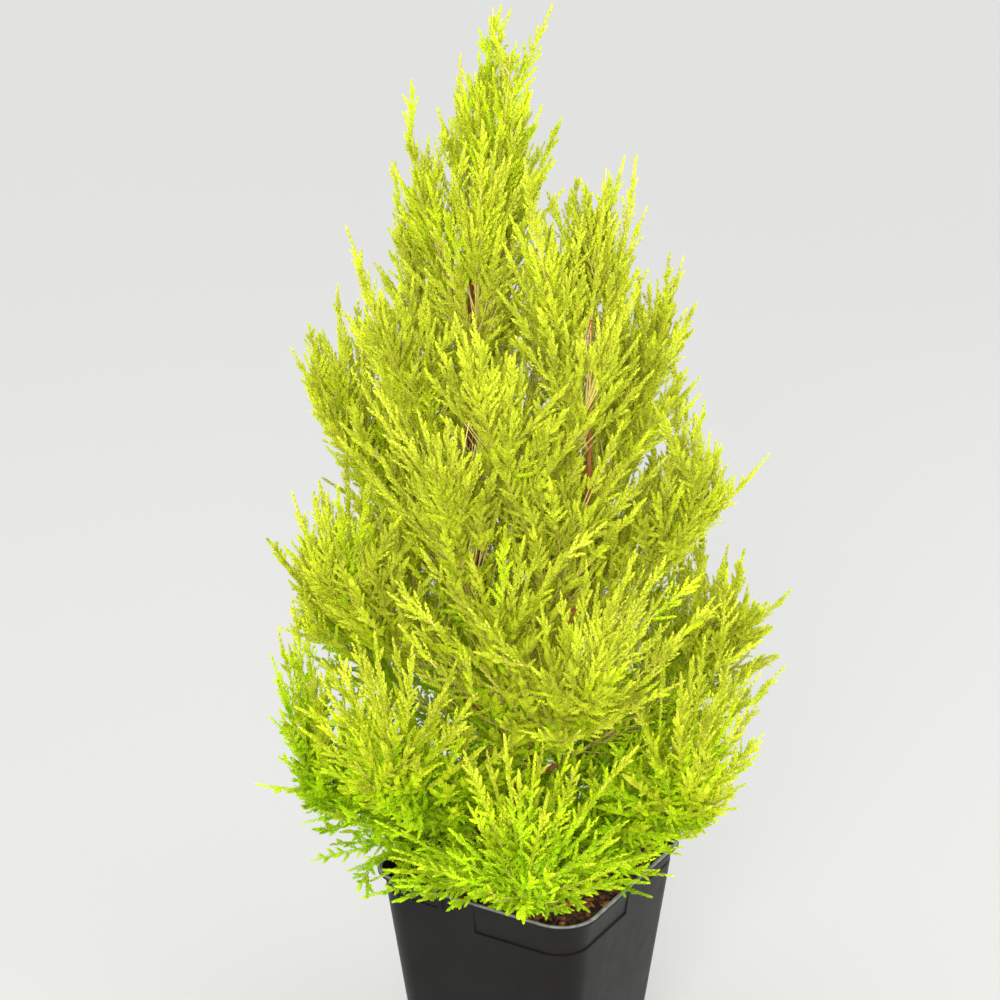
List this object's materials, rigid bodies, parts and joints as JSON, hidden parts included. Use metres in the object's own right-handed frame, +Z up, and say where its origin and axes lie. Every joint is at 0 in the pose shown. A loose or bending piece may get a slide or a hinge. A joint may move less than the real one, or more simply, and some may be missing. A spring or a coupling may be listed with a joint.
{
  "type": "potted lemon cypress",
  "caption": "Young lemon cypress with a twin-leader conic crown of feathery golden-lime foliage, growing in a square tapered nursery pot filled with bark compost.",
  "frame": {"origin": "centre of the pot's flat underside, at the level it stands on", "axes": "+Z up along the pot's and the tree's height, X and Y square to the pot's sides"},
  "size_m": [0.319, 0.3252, 0.7456],
  "materials": {
    "pot_plastic": "satin charcoal moulded plastic",
    "bark_compost": "dark moist compost with bark chips",
    "bark": "red-brown young bark",
    "foliage": "golden-lime needle foliage"
  },
  "bodies": {
    "root": {"pot": "pot_plastic", "compost": "bark_compost", "trunk": "bark", "second_leader": "bark", "bough_1": "bark", "bough_2": "bark", "bough_3": "bark", "bough_4": "bark", "bough_5": "bark", "bough_6": "bark", "bough_7": "bark", "bough_8": "bark", "bough_9": "bark", "bough_10": "bark", "bough_11": "bark", "bough_12": "bark", "bough_13": "bark", "foliage_1": "foliage", "foliage_2": "foliage", "foliage_3": "foliage", "foliage_4": "foliage", "foliage_5": "foliage", "foliage_6": "foliage", "foliage_7": "foliage", "foliage_8": "foliage", "foliage_9": "foliage", "foliage_10": "foliage", "foliage_11": "foliage", "foliage_12": "foliage", "foliage_13": "foliage", "foliage_14": "foliage", "foliage_15": "foliage", "foliage_16": "foliage", "foliage_17": "foliage", "foliage_18": "foliage", "foliage_19": "foliage", "foliage_20": "foliage", "foliage_21": "foliage", "foliage_22": "foliage", "foliage_23": "foliage", "foliage_24": "foliage", "foliage_25": "foliage", "foliage_26": "foliage", "foliage_27": "foliage", "foliage_28": "foliage", "foliage_29": "foliage", "foliage_30": "foliage", "foliage_31": "foliage", "foliage_32": "foliage", "foliage_33": "foliage", "foliage_34": "foliage", "main_plume": "foliage", "second_plume": "foliage"}
  },
  "joints": []
}
